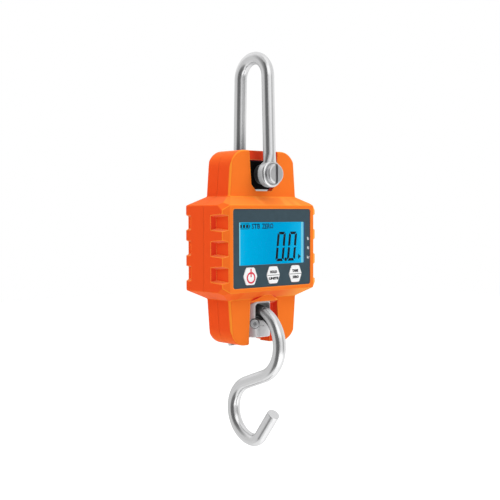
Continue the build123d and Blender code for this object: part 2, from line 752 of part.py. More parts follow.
def load_cell():
    """An aluminium block cut into two thin beams between its upper and lower ends."""
    half = cell_width / 2
    cell = box(-half, half, -cell_face, cell_face, -cell_bottom, cell_top)
    cell = chamfer(cell.edges(), block_chamfer)
    neck_half = notch_back - wall - cell_neck_play
    cell += box(-cell_neck_width / 2, cell_neck_width / 2, -neck_half, neck_half,
                cell_top, bolt_z - lug_bottom)
    for x in (-gauge_bore_pitch / 2, gauge_bore_pitch / 2):
        cell -= rod_y(gauge_bore, -cell_face, cell_face, x)
    cell -= box(-gauge_bore_pitch / 2, gauge_bore_pitch / 2, -cell_face, cell_face,
                -gauge_bore / 4, gauge_bore / 4)
    for side in (-1, 1):
        open_end = -side * half
        closed_end = side * (half - cell_web)
        cell -= box(min(open_end, closed_end), max(open_end, closed_end), -cell_face, cell_face,
                    side * cell_slot_height - cell_slot / 2, side * cell_slot_height + cell_slot / 2)
        cell -= rod_y(2 * cell_slot, -cell_face, cell_face, closed_end, side * cell_slot_height)
        cell -= rod_y(cell_screw + 2 * screw_play, -cell_face, cell_face, side * cell_post_x, cell_post_z)
    tapped = thread_bite * cap_screw + cap_screw / 2
    cell -= lug_screw_holes(cap_screw + screw_play, bolt_z - lug_bottom - tapped, bolt_z)
    for x in (-flange_screw_spread, flange_screw_spread):
        cell -= rod_z(cap_screw + screw_play, -cell_bottom, -cell_bottom + tapped, x)
    return cell


def cell_screws():
    """Two screws that hold the load cell to the posts of the front shell."""
    one = screw(cell_screw, cell_thickness + thread_bite * cell_screw, cell_screw_head,
                cell_screw_head_height)
    return [Pos(x, cell_face, cell_post_z) * Rot(-90, 0, 0) * one for x in (-cell_post_x, cell_post_x)]


def gauge_places():
    """The middle of each foil gauge, in (x, z)."""
    return [(i * gauge_bore_pitch / 2, k * gauge_rise) for i in (-1, 1) for k in (-1, 1)]


def strain_gauges():
    """Four foil gauges bonded over the thin beams."""
    half = gauge_size / 2
    patch = box(-half, half, -cell_face - foil_thickness, -cell_face, -half, half)
    return [Pos(x, 0, z) * patch for x, z in gauge_places()]


def gauge_wires():
    """A short wire from each gauge to the back of the board."""
    return [rod_y(gauge_wire, -board_back, -cell_face - foil_thickness, x, z) for x, z in gauge_places()]


def saddle_line(angle_sign, face_sign):
    """Direction of one radial screw, level and turned from straight ahead."""
    turn = radians(saddle_screw_angle)
    return (angle_sign * sin(turn), face_sign * cos(turn), 0)


def radial(direction, distance, height):
    """A plane across one radial screw's axis, facing outwards."""
    origin = (direction[0] * distance, direction[1] * distance, height)
    return Plane(origin=origin, z_dir=direction)


saddle_screw_z = -(saddle_floor - saddle_screw / 2 - saddle_rise)
saddle_seat = yoke_width / 2 + saddle_flat
saddle_tip = saddle_seat - saddle_screw_bite
saddle_directions = [saddle_line(i, k) for i in (-1, 1) for k in (-1, 1)]


def screw_space(direction):
    """One saddle screw's hole and the flat seat of its washer."""
    hole = radial(direction, saddle_tip, saddle_screw_z) * Circle((saddle_screw + screw_play) / 2)
    seat = radial(direction, saddle_seat, saddle_screw_z) * Circle(saddle_washer / 2 + screw_play)
    return extrude(hole, amount=yoke_width) + extrude(seat, amount=yoke_width)


def lower_lug():
    """The bright yoke below the load cell, with the window that the hook passes through."""
    column = yoke_column(0, -yoke_bottom, -cell_bottom)
    column = fillet(column.faces().sort_by(Axis.Z)[0].edges(), yoke_round)
    flange_half = yoke_flange_width / 2
    yoke = column + box(-flange_half, flange_half, -cell_face, cell_face,
                        -cell_bottom - yoke_flange_height, -cell_bottom)
    middle = -(window_top + saddle_floor) / 2
    yoke -= rounded_plate(window_width, saddle_floor - window_top, window_width / 5,
                          -yoke_width, yoke_width, 0, middle)
    for x in (-flange_screw_spread, flange_screw_spread):
        low = -cell_bottom - yoke_flange_height
        yoke -= rod_z(cap_screw + screw_play, low, -cell_bottom, x)
        yoke -= rod_z(cap_screw_head + screw_play, low, low + cap_screw_head_height, x)
    for direction in saddle_directions:
        yoke -= screw_space(direction)
    return yoke


def flange_screws():
    """Two socket screws up through the yoke's flange into the load cell."""
    seat = -cell_bottom - yoke_flange_height + cap_screw_head_height
    length = yoke_flange_height - cap_screw_head_height + thread_bite * cap_screw
    one = screw(cap_screw, length, cap_screw_head, cap_screw_head_height - head_play,
                cap_screw * socket_share)
    return [Pos(x, 0, seat) * Rot(180, 0, 0) * one for x in (-flange_screw_spread, flange_screw_spread)]


def hook_saddle():
    """The hardened insert that the hook bears on, curved like the inside of the hook."""
    half = window_width / 2 - stack_gap
    depth = yoke_width / 2 - stack_gap
    block = box(-half, half, -depth, depth, -saddle_floor + window_width / 5, -window_top)
    block += rounded_plate(2 * half, window_width / 2, window_width / 5, -depth, depth,
                           0, -saddle_floor + window_width / 4 + stack_gap)
    loop_z = -hook_top - hook_loop
    block &= rod_x(2 * (hook_loop - hook_rod / 2 - saddle_gap), -half, half, hook_loop_shift, loop_z)
    for direction in saddle_directions:
        block -= screw_space(direction)
    return block


def saddle_screws():
    """Four socket screws through the yoke's corners into the saddle."""
    length = saddle_screw_bite + saddle_washer_thickness - screw_play
    one = screw(saddle_screw, length, saddle_screw_head, saddle_screw_head_height,
                saddle_screw * socket_share)
    seat = saddle_seat + saddle_washer_thickness
    return [radial(direction, seat, saddle_screw_z) * one for direction in saddle_directions]


def saddle_washers():
    """A washer under each of the saddle screws."""
    ring = Circle(saddle_washer / 2) - Circle(saddle_screw / 2 + screw_play / 2)
    return [extrude(radial(direction, saddle_seat, saddle_screw_z) * ring, amount=saddle_washer_thickness)
            for direction in saddle_directions]


# ---- S-hook ----
def s_hook():
    """A bar bent into an open S: a round upper loop, a lower loop and a straight tip."""
    upper = Vector(hook_loop_shift, -hook_top - hook_loop)
    lower = Vector(hook_bend_shift, -hook_top - hook_drop + hook_bend)
    span = lower - upper
    lean = degrees(atan2(span.Y, span.X))
    inner = degrees(acos((hook_loop + hook_bend) / span.length))
    leave = lean - inner
    normal = Vector(cos(radians(leave)), sin(radians(leave)))
    start = upper + normal * hook_loop
    end = lower - normal * hook_bend
    first = CenterArc((upper.X, upper.Y), hook_loop, hook_tail_angle, 360 + leave - hook_tail_angle)
    second = CenterArc((lower.X, lower.Y), hook_bend, leave + 180, -90 - leave - 180)
    heel_z = -hook_top - hook_drop + hook_heel
    third = CenterArc((lower.X, heel_z), hook_heel, -90, -hook_tip_angle)
    tip_root = third @ 1
    tip = tip_root + Vector(-cos(radians(hook_tip_angle)), sin(radians(hook_tip_angle))) * hook_tip_length
    path = Plane.YZ.location * Wire([first, Line((start.X, start.Y), (end.X, end.Y)), second, third,
                                     Line((tip_root.X, tip_root.Y), (tip.X, tip.Y))])
    hook = sweep(Plane(origin=path @ 0, z_dir=path % 0) * Circle(hook_rod / 2), path=path)
    ends = hook.faces().filter_by(GeomType.PLANE).edges()
    return fillet(ends, hook_tip_round)


# ---- Display ----
def display_panel():
    """The dark face sheet with its window and its button holes."""
    panel = rounded_plate(panel_width, panel_height, panel_corner, -panel_front, -panel_back)
    panel -= rounded_plate(glass_width, glass_height, panel_corner / 4, -case_front, 0, 0, glass_middle)
    for place in button_places.values():
        panel -= Pos(place, 0, -button_middle) * plate_y(button_shape(button_play), -case_front, 0)
    return panel


def display_lens():
    """The clear window behind the face sheet."""
    return rounded_plate(lens_width, lens_height, lens_lap, -panel_back, -lens_back, 0, glass_middle)


def lcd_glass():
    """The liquid crystal display."""
    return rounded_plate(lens_width - 2 * panel_fit, lens_height - 2 * panel_fit, lens_lap,
                         -lcd_front, -lcd_back, 0, glass_middle)


def backlight():
    """The light guide between the display and the board."""
    height = lens_height - 2 * panel_fit - 2 * lcd_connector_height - 4 * stack_gap
    return rounded_plate(lens_width - 4 * lens_lap, height, lens_lap, -lcd_back, -board_front,
                         0, glass_middle)


def lcd_connectors():
    """Two soft contact strips pressed between the display and the board."""
    half = lens_width / 2 - 2 * lens_lap
    edge = lens_height / 2 - panel_fit
    strip = box(-half, half, -lcd_back, -board_front, edge - lcd_connector_height, edge)
    return [Pos(0, 0, glass_middle) * strip, Pos(0, 0, glass_middle) * mirror(strip, Plane.XY)]


def button(place):
    """A key cap with its retaining flange and the stem that presses the switch."""
    front = panel_front + button_stand
    flange_front = face_back - stack_gap
    cap = plate_y(button_shape(), -front, -flange_front)
    cap = fillet(cap.faces().sort_by(Axis.Y)[0].edges(), button_stand / 2)
    cap += rounded_plate(flange_width, flange_height, button_round,
                         -flange_front, -flange_front + flange_thickness)
    stem_end = board_front + switch_height + plunger_height + switch_gap
    cap += rod_y(switch_plunger, -flange_front + flange_thickness / 2, -stem_end)
    return Pos(place, 0, -button_middle) * cap


def tact_switches():
    """Three small push switches on the board."""
    switches = []
    half = switch_size / 2
    for place in button_places.values():
        body = box(-half, half, -board_front - switch_height, -board_front, -half, half)
        body += rod_y(switch_plunger, -board_front - switch_height - plunger_height, -board_front)
        switches.append(Pos(place, 0, -button_middle) * body)
    return switches


# ---- Circuit board ----
def circuit_board():
    """The board: its lower edge carries the switches, its ears the screws."""
    board = box(-board_width / 2, board_width / 2, -board_front, -board_back, -board_bottom, board_top)
    board += box(-ear_half, ear_half, -board_front, -board_back,
                 -board_ear_height / 2, board_ear_height / 2)
    hole = rod_y(small_screw + 2 * screw_play, -board_front, -board_back)
    return board - at_corners(hole, board_screw_x, board_screw_z)


def board_screws():
    """Four small screws that hold the board to the front shell."""
    length = board_thickness + face_back - board_front - thread_end
    one = Rot(-90, 0, 0) * screw(small_screw, length, small_screw_head, small_screw_head_height)
    return at_corners(Pos(0, -board_back, 0) * one, board_screw_x, board_screw_z)


def board_chips():
    """The controller, the converter and two smaller parts on the back of the board."""
    return [box(x - w / 2, x + w / 2, -board_back, -board_back + chip_height, z - h / 2, z + h / 2)
            for x, z, w, h in chips]


def buzzer():
    """A round sounder on the back of the board."""
    return rod_y(buzzer_diameter, -board_back, -board_back + buzzer_height,
                 buzzer_to_screw - board_screw_x, buzzer_z)


# ---- Batteries ----
def battery_heights():
    """Height of each battery's axis."""
    return [(i - (battery_count - 1) / 2) * battery_pitch for i in range(battery_count)]


def battery_tray():
    """The box behind the load cell that holds the batteries, open to the door."""
    half_width = tray_inner_width / 2 + tray_wall
    half_tall = tray_inner_height / 2 + tray_wall
    tray = box(-half_width, half_width, tray_floor - tray_wall, tray_back, -half_tall, half_tall)
    return tray - box(-half_width + tray_wall, half_width - tray_wall, tray_floor, tray_back,
                      -half_tall + tray_wall, half_tall - tray_wall)


def batteries():
    """Three cells side by side, every second one turned round."""
    cells = []
    free = tray_inner_width / 2 - contact_thickness
    for i, height in enumerate(battery_heights()):
        nub_side = 1 if i % 2 else -1
        tip = nub_side * free
        shoulder = nub_side * (free - battery_nub)
        back = shoulder - nub_side * battery_length
        can = rod_x(battery_diameter, min(back, shoulder), max(back, shoulder), battery_y, height)
        can = fillet(can.edges().filter_by(GeomType.CIRCLE), battery_round)
        nub = rod_x(battery_nub_diameter, min(tip, shoulder), max(tip, shoulder), battery_y, height)
        cells.append(can + nub)
    return cells


def battery_contacts():
    """Contact plates at both ends of the tray."""
    half = tray_inner_width / 2
    size = contact_size
    plates = []
    for height in battery_heights():
        for side in (-1, 1):
            inner = side * (half - contact_thickness)
            outer = side * half
            plates.append(box(min(inner, outer), max(inner, outer), battery_y - size / 2,
                              battery_y + size / 2, height - size / 2, height + size / 2))
    return plates


def battery_springs():
    """A coil spring behind the flat end of each battery."""
    springs = []
    free = tray_inner_width / 2 - contact_thickness
    for i, height in enumerate(battery_heights()):
        side = -1 if i % 2 else 1
        reach = spring_length - spring_wire
        path = Helix(reach / 3, reach, (spring_diameter - spring_wire) / 2)
        coil = sweep(Plane(origin=path @ 0, z_dir=path % 0) * Circle(spring_wire / 2), path=path)
        start = free - spring_length + spring_wire / 2 if side > 0 else -free + spring_wire / 2
        springs.append(Pos(start, battery_y, height) * Rot(0, 90, 0) * coil)
    return springs


def battery_door():
    """The sliding door: a plate with four tongues and a ribbed thumb grip."""
    half = door_width / 2
    door = box(-half, half, door_back, case_rear, -door_bottom, door_top)
    door = fillet(door.faces().sort_by(Axis.Y)[-1].edges(), door_round)
    length = door_tongue_length / 2
    for middle in (-door_tongue_spread / 2, door_tongue_spread / 2):
        door += box(-half - door_tongue, half + door_tongue, door_back,
                    door_back + door_tongue_thickness, middle - length, middle + length)
    for i in range(door_grip_ribs):
        low = -door_bottom + door_grip_margin + door_grip_pitch * i
        door -= box(-door_grip_width / 2, door_grip_width / 2, case_rear - door_grip_depth, case_rear,
                    low, low + door_grip_pitch / 2)
    return door


def battery_lead(x):
    """A straight insulated wire from the tray to the board."""
    return rod_y(lead_diameter, -board_back, tray_floor - tray_wall, x, 0)


def case_screws():
    """Four long screws from the back through both shells."""
    one = Rot(-90, 0, 0) * screw(case_screw, case_screw_length, case_screw_head, case_screw_head_height)
    seat = case_rear - case_screw_depth - case_screw_head_height
    return at_corners(Pos(0, seat, 0) * one, case_screw_x, case_screw_z)


# ---- Writing the files ----
def write(name, solids):
    """Move a piece from the case's frame to the row frame and write it."""
    pieces = solids if isinstance(solids, list) else [solids]
    moved = [Pos(0, 0, -row_origin_z) * piece for piece in pieces]
    loose = [solid for piece in moved for solid in piece.solids()]
    shape = loose[0] if len(loose) == 1 else Compound(children=loose)
    export_step(shape, f"parts/{name}.step")


os.makedirs("parts", exist_ok=True)
blank = case_blank()
write("front_shell", front_shell(blank))
write("rear_shell", rear_shell(blank))
write("case_seal", seal_ring())
write("case_screws", case_screws())
write("shackle", shackle())
write("shackle_bolt", shackle_bolt())
write("shackle_nut", shackle_nut())
write("lug_spacers", lug_spacers())
write("upper_lug", upper_lug())
write("upper_lug_screws", lug_screws())
write("load_cell", load_cell())
write("load_cell_screws", cell_screws())
write("strain_gauges", strain_gauges())
write("gauge_wires", gauge_wires())
write("lower_lug", lower_lug())
write("lower_lug_screws", flange_screws())
write("hook_saddle", hook_saddle())
write("saddle_screws", saddle_screws())
write("saddle_washers", saddle_washers())
write("s_hook", s_hook())
write("display_panel", display_panel())
write("display_lens", display_lens())
write("lcd_glass", lcd_glass())
write("lcd_connectors", lcd_connectors())
write("backlight", backlight())
for name, place in button_places.items():
    write(f"{name}_button", button(place))
write("tact_switches", tact_switches())
write("circuit_board", circuit_board())
write("board_screws", board_screws())
write("board_chips", board_chips())
write("buzzer", buzzer())
write("battery_tray", battery_tray())
write("batteries", batteries())
write("battery_contacts", battery_contacts())
write("battery_springs", battery_springs())
write("battery_door", battery_door())
write("positive_lead", battery_lead(-lead_offset))
write("negative_lead", battery_lead(lead_offset))
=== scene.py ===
"""A small hanging scale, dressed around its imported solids.

All sizes are in metres in the scale's own frame: the origin is where it hangs, +Z is up,
+Y runs from the display to the battery door.
"""
import math

import bmesh
import bpy
from mathutils import Matrix, Vector


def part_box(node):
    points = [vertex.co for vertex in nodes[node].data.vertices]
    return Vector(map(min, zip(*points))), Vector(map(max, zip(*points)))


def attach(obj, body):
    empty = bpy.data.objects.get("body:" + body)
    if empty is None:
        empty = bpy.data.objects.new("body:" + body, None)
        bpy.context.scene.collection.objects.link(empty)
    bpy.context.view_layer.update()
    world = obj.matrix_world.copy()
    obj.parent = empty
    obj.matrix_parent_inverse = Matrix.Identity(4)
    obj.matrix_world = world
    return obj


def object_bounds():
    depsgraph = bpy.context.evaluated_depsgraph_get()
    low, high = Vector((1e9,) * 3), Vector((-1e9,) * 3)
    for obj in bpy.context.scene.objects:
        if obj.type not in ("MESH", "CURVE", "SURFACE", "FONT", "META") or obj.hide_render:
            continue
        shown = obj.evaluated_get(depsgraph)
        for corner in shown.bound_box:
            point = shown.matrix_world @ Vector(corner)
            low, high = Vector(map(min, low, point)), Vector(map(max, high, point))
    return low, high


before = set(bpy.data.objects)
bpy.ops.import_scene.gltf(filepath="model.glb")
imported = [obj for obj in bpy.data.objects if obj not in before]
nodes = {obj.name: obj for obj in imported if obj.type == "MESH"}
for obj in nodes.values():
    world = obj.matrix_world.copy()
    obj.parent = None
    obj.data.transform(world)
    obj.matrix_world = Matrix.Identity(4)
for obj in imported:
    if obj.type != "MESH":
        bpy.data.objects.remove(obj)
solid_low, solid_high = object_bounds()


# ---- Studio ----
# A pale room with a white floor well below the hanging scale and soft lamps round it.
# A tent of pale and dark cloth, which only shiny surfaces see, stripes the steel.
view_turn = math.radians(41.8)
view_rise = math.radians(2.22)
view_roll = math.radians(-0.16)
view_distance = 0.625
view_aim = Vector((-0.00086, 0.00357, -0.12322))
film_width, lens_length = 36, 67.07


def place(name, data):
    """Puts a new object into the scene."""
    thing = bpy.data.objects.new(name, data)
    bpy.context.scene.collection.objects.link(thing)
    return thing


towards_camera = Vector((-math.sin(view_turn) * math.cos(view_rise),
                         -math.cos(view_turn) * math.cos(view_rise),
                         math.sin(view_rise)))
camera = place("camera", bpy.data.cameras.new("camera"))
camera.data.sensor_width = film_width
camera.data.lens = lens_length
camera.data.clip_start = 0.01
camera.location = view_aim + towards_camera * view_distance
camera.rotation_mode = "QUATERNION"
camera.rotation_quaternion = ((-towards_camera).to_track_quat("-Z", "Y")
                              @ Matrix.Rotation(view_roll, 3, "Z").to_quaternion())
bpy.context.scene.camera = camera
bpy.context.scene.view_settings.view_transform = "Standard"


def reckon(tree, operation, first, second):
    """One sum over a surface; first and second are numbers or come from other nodes."""
    node = tree.nodes.new("ShaderNodeMath")
    node.operation = operation
    node.use_clamp = operation == "MULTIPLY"
    for value, socket in zip((first, second), node.inputs):
        if isinstance(value, (int, float)):
            socket.default_value = value
        else:
            tree.links.new(value, socket)
    return node.outputs[0]


# The room lights the scale softly, and shows white where it is looked at.
room_light = 0.6
world = bpy.data.worlds.new("studio")
bpy.context.scene.world = world
world.use_nodes = True
sky = world.node_tree
lit_room = sky.nodes["Background"]
lit_room.inputs["Color"].default_value = (1.0, 1.0, 1.0, 1)
lit_room.inputs["Strength"].default_value = room_light
white_room = sky.nodes.new("ShaderNodeBackground")
white_room.inputs["Color"].default_value = (1.0, 1.0, 1.0, 1)
white_room.inputs["Strength"].default_value = 1.0
seen_by = sky.nodes.new("ShaderNodeLightPath").outputs
seen_or_glossy = reckon(sky, "MAXIMUM", seen_by["Is Camera Ray"], seen_by["Is Glossy Ray"])
seen_at_all = reckon(sky, "MAXIMUM", seen_or_glossy, seen_by["Is Transmission Ray"])
either_room = sky.nodes.new("ShaderNodeMixShader")
for source, socket in zip((seen_at_all, lit_room.outputs[0], white_room.outputs[0]), either_room.inputs):
    sky.links.new(source, socket)
sky.links.new(either_room.outputs[0], sky.nodes["World Output"].inputs["Surface"])


def shader_of(material):
    """The one shader of a material."""
    return material.node_tree.nodes["Principled BSDF"]


def finish(name, colour, roughness, metallic=0.0, shine=0.5):
    """A material, its even values set on the shader itself."""
    material = bpy.data.materials.new(name)
    material.use_nodes = True
    shader = shader_of(material)
    shader.inputs["Base Color"].default_value = (*colour, 1)
    shader.inputs["Roughness"].default_value = roughness
    shader.inputs["Metallic"].default_value = metallic
    shader.inputs["Specular IOR Level"].default_value = shine
    return material


middle = (solid_low + solid_high) / 2
floor_depth = 0.30
floor_half = 4.0
floor_lift = 0.5
floor_mesh = bpy.data.meshes.new("floor")
floor_mesh.from_pydata([(-floor_half, -floor_half, 0), (floor_half, -floor_half, 0),
                        (floor_half, floor_half, 0), (-floor_half, floor_half, 0)], [], [(0, 1, 2, 3)])
floor = place("floor", floor_mesh)
floor.location = (middle.x, middle.y, solid_low.z - floor_depth)
floor.visible_glossy = False
floor_paint = finish("floor_paint", (0.86, 0.86, 0.86), 0.9)
floor_tree = floor_paint.node_tree
shader_of(floor_paint).inputs["Emission Color"].default_value = (1, 1, 1, 1)
floor_seen_by = floor_tree.nodes.new("ShaderNodeLightPath").outputs
floor_tree.links.new(reckon(floor_tree, "MULTIPLY", floor_seen_by["Is Camera Ray"], floor_lift),
                     shader_of(floor_paint).inputs["Emission Strength"])
floor_mesh.materials.append(floor_paint)

lamp_distance = 1.5


def soft_lamp(name, turn, rise, size, strength):
    """A square lamp that faces the scale, turned in degrees from the camera's side to its
    left and raised; strength is its light on a white that faces it."""
    angle, up = view_turn + math.radians(turn), math.radians(rise)
    lamp = place(name, bpy.data.lights.new(name, "AREA"))
    lamp.data.shape = "SQUARE"
    lamp.data.size = size
    lamp.data.energy = strength * (math.pi * lamp_distance) ** 2
    lamp.location = middle + lamp_distance * Vector((-math.sin(angle) * math.cos(up),
                                                     -math.cos(angle) * math.cos(up), math.sin(up)))
    lamp.rotation_mode = "QUATERNION"
    lamp.rotation_quaternion = (lamp.location - middle).to_track_quat("Z", "Y")
    lamp.visible_glossy = False


soft_lamp("front_lamp", turn=-78, rise=38, size=1.0, strength=0.50)
soft_lamp("side_lamp", turn=62, rise=38, size=0.8, strength=0.26)
soft_lamp("top_lamp", turn=-10, rise=80, size=0.8, strength=0.20)
soft_lamp("back_lamp", turn=-177, rise=70, size=0.9, strength=0.45)

tent_radius = 1.9
tent_turns, tent_rises = 96, 24
tent_end = math.radians(88)
tent_form = bmesh.new()
tent_rings = []
for j in range(tent_rises + 1):
    up = tent_end * (2 * j / tent_rises - 1)
    tent_rings.append([tent_form.verts.new((tent_radius * math.cos(up) * math.cos(math.tau * i / tent_turns),
                                            tent_radius * math.cos(up) * math.sin(math.tau * i / tent_turns),
                                            tent_radius * math.sin(up))) for i in range(tent_turns)])
for below, above in zip(tent_rings, tent_rings[1:]):
    for i in range(tent_turns):
        j = (i + 1) % tent_turns
        tent_form.faces.new((below[i], below[j], above[j], above[i]))
tent_mesh = bpy.data.meshes.new("tent")
tent_form.to_mesh(tent_mesh)
tent_form.free()
tent = place("tent", tent_mesh)
tent.location = middle
# Its own -X side faces away from the camera, where the cloth's greys start and end.
tent.rotation_euler = (0, 0, -math.pi / 2 - view_turn)
tent.visible_camera = False
tent.visible_diffuse = False
tent.visible_transmission = False
tent.visible_shadow = False
tent_cloth = finish("tent_cloth", (0, 0, 0), 0.5, shine=0)
tent_tree = tent_cloth.node_tree
shader_of(tent_cloth).inputs["Emission Strength"].default_value = 1
tent_parts = tent_tree.nodes.new("ShaderNodeSeparateXYZ")
tent_tree.links.new(tent_tree.nodes.new("ShaderNodeTexCoord").outputs["Object"], tent_parts.inputs[0])
tent_turn = reckon(tent_tree, "ARCTAN2", tent_parts.outputs["Y"], tent_parts.outputs["X"])


def spread(tree, value, start, end, low=0.0, high=1.0, smooth=False):
    """Goes from low to high as value goes from start to end."""
    step = tree.nodes.new("ShaderNodeMapRange")
    if smooth:
        step.interpolation_type = "SMOOTHSTEP"
    for socket, number in (("From Min", start), ("From Max", end), ("To Min", low), ("To Max", high)):
        step.inputs[socket].default_value = number
    tree.links.new(value, step.inputs["Value"])
    return step.outputs["Result"]


tent_share = spread(tent_tree, tent_turn, -math.pi, math.pi)


def shade_stops(tree, share, stops):
    """A run of shades along share; each stop is its place from 0 to 1 and its colour."""
    ramp = tree.nodes.new("ShaderNodeValToRGB")
    elements = ramp.color_ramp.elements
    while len(elements) < len(stops):
        elements.new(0.5)
    for element, (position, colour) in zip(elements, stops):
        element.position = position
        element.color = (*colour, 1)
    tree.links.new(share, ramp.inputs["Fac"])
    return ramp.outputs["Color"]


def cloth_greys(*greys):
    """A band of cloth: pairs of the turn, from the camera's side to its right, and the grey there."""
    return shade_stops(tent_tree, tent_share,
                       [((turn + 180) / 360, (grey, grey, grey)) for turn, grey in greys])


def blend(tree, share, first, second):
    """Mixes two shades by share; each is a colour or comes from another node."""
    mix = tree.nodes.new("ShaderNodeMixRGB")
    tree.links.new(share, mix.inputs["Fac"])
    for shade, socket in ((first, mix.inputs["Color1"]), (second, mix.inputs["Color2"])):
        if isinstance(shade, tuple):
            socket.default_value = (*shade, 1)
        else:
            tree.links.new(shade, socket)
    return mix.outputs["Color"]


def cloth_seam(lower, upper, start, end):
    """Passes softly from one band to the next between two rises, in degrees."""
    step = spread(tent_tree, tent_parts.outputs["Z"], tent_radius * math.sin(math.radians(start)),
                  tent_radius * math.sin(math.radians(end)), smooth=True)
    return blend(tent_tree, step, lower, upper)


ground_cloth = cloth_greys((-180, 0.98), (-14, 0.98), (12, 1.22), (100, 1.22), (180, 0.98))
low_cloth = cloth_greys((-180, 0.80), (-120, 0.82), (-74, 0.76), (-58, 0.22), (-6, 0.16), (6, 1.45),
                        (70, 1.45), (96, 1.05), (180, 1.0))
level_cloth = cloth_greys((-180, 0.55), (-140, 0.66), (-120, 0.74), (-70, 0.70), (-57, 0.17), (-4, 0.14),
                          (8, 0.62), (32, 0.90), (54, 0.95), (64, 0.46), (84, 0.46), (98, 0.95),
                          (150, 0.95), (180, 0.55))
high_cloth = cloth_greys((-180, 0.92), (-110, 0.98), (-84, 0.46), (-54, 0.26), (-36, 0.13), (-12, 0.15),
                         (2, 1.30), (48, 1.30), (62, 0.80), (180, 0.90))
top_cloth = cloth_greys((-180, 0.92), (-110, 0.92), (-60, 0.68), (12, 0.68), (34, 1.10), (70, 1.10),
                        (180, 0.92))
hung_cloth = cloth_seam(ground_cloth, low_cloth, -62, -50)
hung_cloth = cloth_seam(hung_cloth, level_cloth, -30, -16)
hung_cloth = cloth_seam(hung_cloth, high_cloth, 8, 24)
hung_cloth = cloth_seam(hung_cloth, top_cloth, 48, 60)
tent_tree.links.new(hung_cloth, shader_of(tent_cloth).inputs["Emission Color"])
tent_mesh.materials.append(tent_cloth)


# ---- Shackle ----
# One stainless bar bent into a long bow, its ends flattened and bored for the bolt.
# It is polished all over, with the fine marks of the polishing belt along the bar.
def grain(material, size, stretch=(1, 1, 1), detail=3):
    """A noise over the piece's own metres: size is that of one grain."""
    tree = material.node_tree
    stretched = tree.nodes.new("ShaderNodeMapping")
    stretched.inputs["Scale"].default_value = stretch
    noise = tree.nodes.new("ShaderNodeTexNoise")
    noise.inputs["Scale"].default_value = 1 / size
    noise.inputs["Detail"].default_value = detail
    tree.links.new(tree.nodes.new("ShaderNodeTexCoord").outputs["Object"], stretched.inputs["Vector"])
    tree.links.new(stretched.outputs["Vector"], noise.inputs["Vector"])
    return noise.outputs["Fac"]


# Nearly all of a noise lies between these two.
grain_low, grain_high = 0.3, 0.7


def vary(material, source, low, high):
    """Lets a noise move the roughness between low and high."""
    tree = material.node_tree
    tree.links.new(spread(tree, source, grain_low, grain_high, low, high),
                   shader_of(material).inputs["Roughness"])


def tint(material, source, first, second):
    """Lets a noise move the colour between two shades."""
    tree = material.node_tree
    tree.links.new(shade_stops(tree, source, [(grain_low, first), (grain_high, second)]),
                   shader_of(material).inputs["Base Color"])


close_in, well_clear = 0.3, 0.85
fine_samples = 6


def shade_nooks(material, reach, deep, open_colour):
    """Paints shade into the metal's colour where its neighbours, within reach, stand close around it."""
    tree = material.node_tree
    nook = tree.nodes.new("ShaderNodeAmbientOcclusion")
    nook.samples = fine_samples
    nook.inputs["Distance"].default_value = reach
    tree.links.new(shade_stops(tree, nook.outputs["AO"], [(close_in, deep), (well_clear, open_colour)]),
                   shader_of(material).inputs["Base Color"])


def relief(material, source, depth, edge=0.0):
    """Lets a noise raise the surface by up to depth, over edges rounded by edge."""
    tree = material.node_tree
    bump = tree.nodes.new("ShaderNodeBump")
    bump.inputs["Distance"].default_value = depth
    tree.links.new(source, bump.inputs["Height"])
    if edge:
        bevel = tree.nodes.new("ShaderNodeBevel")
        bevel.samples = fine_samples
        bevel.inputs["Radius"].default_value = edge
        tree.links.new(bevel.outputs["Normal"], bump.inputs["Normal"])
    tree.links.new(bump.outputs["Normal"], shader_of(material).inputs["Normal"])


def dress(material, *names):
    """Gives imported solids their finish."""
    for name in names:
        mesh = nodes[name].data
        mesh.materials.clear()
        mesh.materials.append(material)


polished_steel = finish("polished_steel", (0.74, 0.74, 0.745), 0.22, metallic=1)
vary(polished_steel, grain(polished_steel, 0.006, (2, 2, 0.25)), 0.17, 0.27)
relief(polished_steel, grain(polished_steel, 0.003, (4, 4, 0.2), 1), 0.000004)
shade_nooks(polished_steel, 0.024, (0.15, 0.15, 0.155), (0.77, 0.77, 0.775))
dress(polished_steel, "shackle")


# ---- Bolt, nut and spacers ----
# A domed, slotted M8 bolt goes through both eyes and the lug and takes a hexagon nut
# behind; both are zinc plated.  Two black nylon rings keep the lug in the middle.
zinc_steel = finish("zinc_steel", (0.66, 0.66, 0.67), 0.33, metallic=1)
vary(zinc_steel, grain(zinc_steel, 0.003), 0.28, 0.38)
relief(zinc_steel, grain(zinc_steel, 0.0012, (1, 1, 1), 1), 0.000003, 0.0003)
shade_nooks(zinc_steel, 0.003, (0.3, 0.3, 0.31), (0.66, 0.66, 0.67))
dress(zinc_steel, "shackle_bolt", "shackle_nut")

black_nylon = finish("black_nylon", (0.011, 0.011, 0.012), 0.45, shine=0.12)
relief(black_nylon, grain(black_nylon, 0.0004), 0.00001, 0.0002)
dress(black_nylon, "lug_spacers")


# ---- Upper lug ----
# A steel block that hangs on the bolt, phosphated black and oiled, screwed down on the
# neck of the load cell with two socket screws.
black_steel = finish("black_steel", (0.005, 0.005, 0.005), 0.36, shine=0.03)
tint(black_steel, grain(black_steel, 0.003), (0.004, 0.003, 0.003), (0.007, 0.006, 0.006))
vary(black_steel, grain(black_steel, 0.0012), 0.28, 0.5)
relief(black_steel, grain(black_steel, 0.0004), 0.00001, 0.0003)
dress(black_steel, "upper_lug", "upper_lug_screws")


